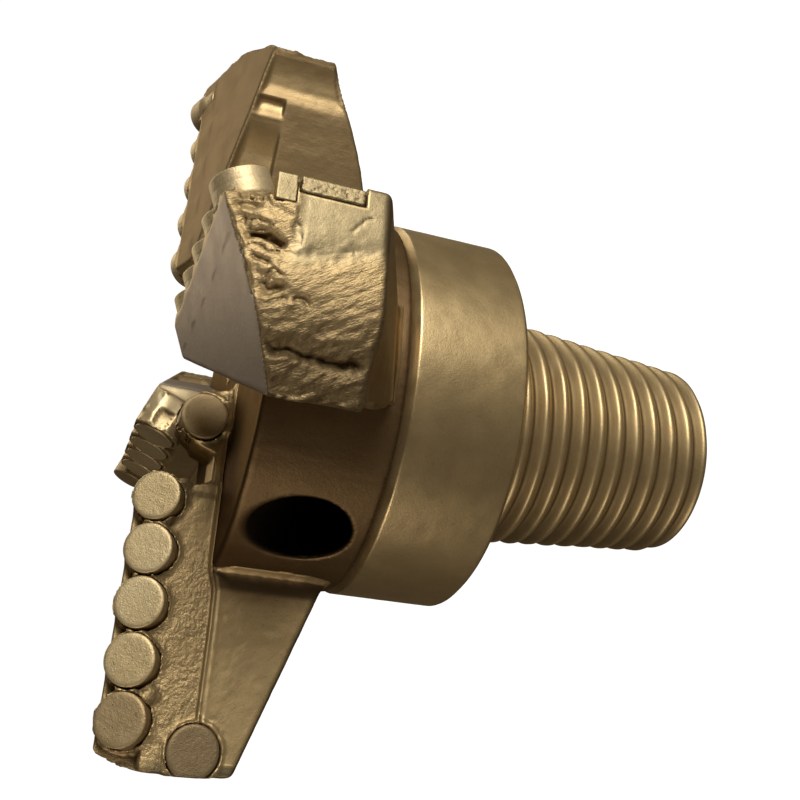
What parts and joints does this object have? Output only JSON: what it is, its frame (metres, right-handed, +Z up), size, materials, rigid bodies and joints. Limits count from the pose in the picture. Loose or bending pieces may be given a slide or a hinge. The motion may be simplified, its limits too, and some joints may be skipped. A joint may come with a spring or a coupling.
{
  "type": "pdc drill bit",
  "caption": "Steel-bodied PDC drill bit with four wings of round cutters, water ports, a straight collar and a tapered threaded pin, all painted gold.",
  "frame": {"origin": "centre of the flat nose of the threaded pin, the lowest face as the bit stands", "axes": "+Z up the bit's axis from the pin to the cutting face; +X along wing 1"},
  "size_m": [0.216, 0.216, 0.1723],
  "materials": {
    "gold_paint_on_steel": "satin gold paint over flame-cut, welded and machined steel",
    "gold_paint_on_carbide": "satin gold paint over sintered carbide and diamond"
  },
  "bodies": {
    "root": {"threaded_shank": "gold_paint_on_steel", "crown_body": "gold_paint_on_steel", "wing_1": "gold_paint_on_steel", "wing_2": "gold_paint_on_steel", "wing_3": "gold_paint_on_steel", "wing_4": "gold_paint_on_steel", "wing_1_cutter_1": "gold_paint_on_carbide", "wing_1_cutter_2": "gold_paint_on_carbide", "wing_1_cutter_3": "gold_paint_on_carbide", "wing_1_cutter_4": "gold_paint_on_carbide", "wing_1_cutter_5": "gold_paint_on_carbide", "wing_2_cutter_1": "gold_paint_on_carbide", "wing_2_cutter_2": "gold_paint_on_carbide", "wing_2_cutter_3": "gold_paint_on_carbide", "wing_2_cutter_4": "gold_paint_on_carbide", "wing_2_cutter_5": "gold_paint_on_carbide", "wing_3_cutter_1": "gold_paint_on_carbide", "wing_3_cutter_2": "gold_paint_on_carbide", "wing_3_cutter_3": "gold_paint_on_carbide", "wing_3_cutter_4": "gold_paint_on_carbide", "wing_3_cutter_5": "gold_paint_on_carbide", "wing_4_cutter_1": "gold_paint_on_carbide", "wing_4_cutter_2": "gold_paint_on_carbide", "wing_4_cutter_3": "gold_paint_on_carbide", "wing_4_cutter_4": "gold_paint_on_carbide", "wing_4_cutter_5": "gold_paint_on_carbide", "wing_1_gauge_cutter": "gold_paint_on_carbide", "wing_1_centre_cutter": "gold_paint_on_carbide", "wing_3_gauge_cutter": "gold_paint_on_carbide", "wing_3_centre_cutter": "gold_paint_on_carbide", "wing_2_gauge_insert_long": "gold_paint_on_carbide", "wing_2_gauge_insert_short": "gold_paint_on_carbide", "wing_4_gauge_insert_long": "gold_paint_on_carbide", "wing_4_gauge_insert_short": "gold_paint_on_carbide"}
  },
  "joints": []
}
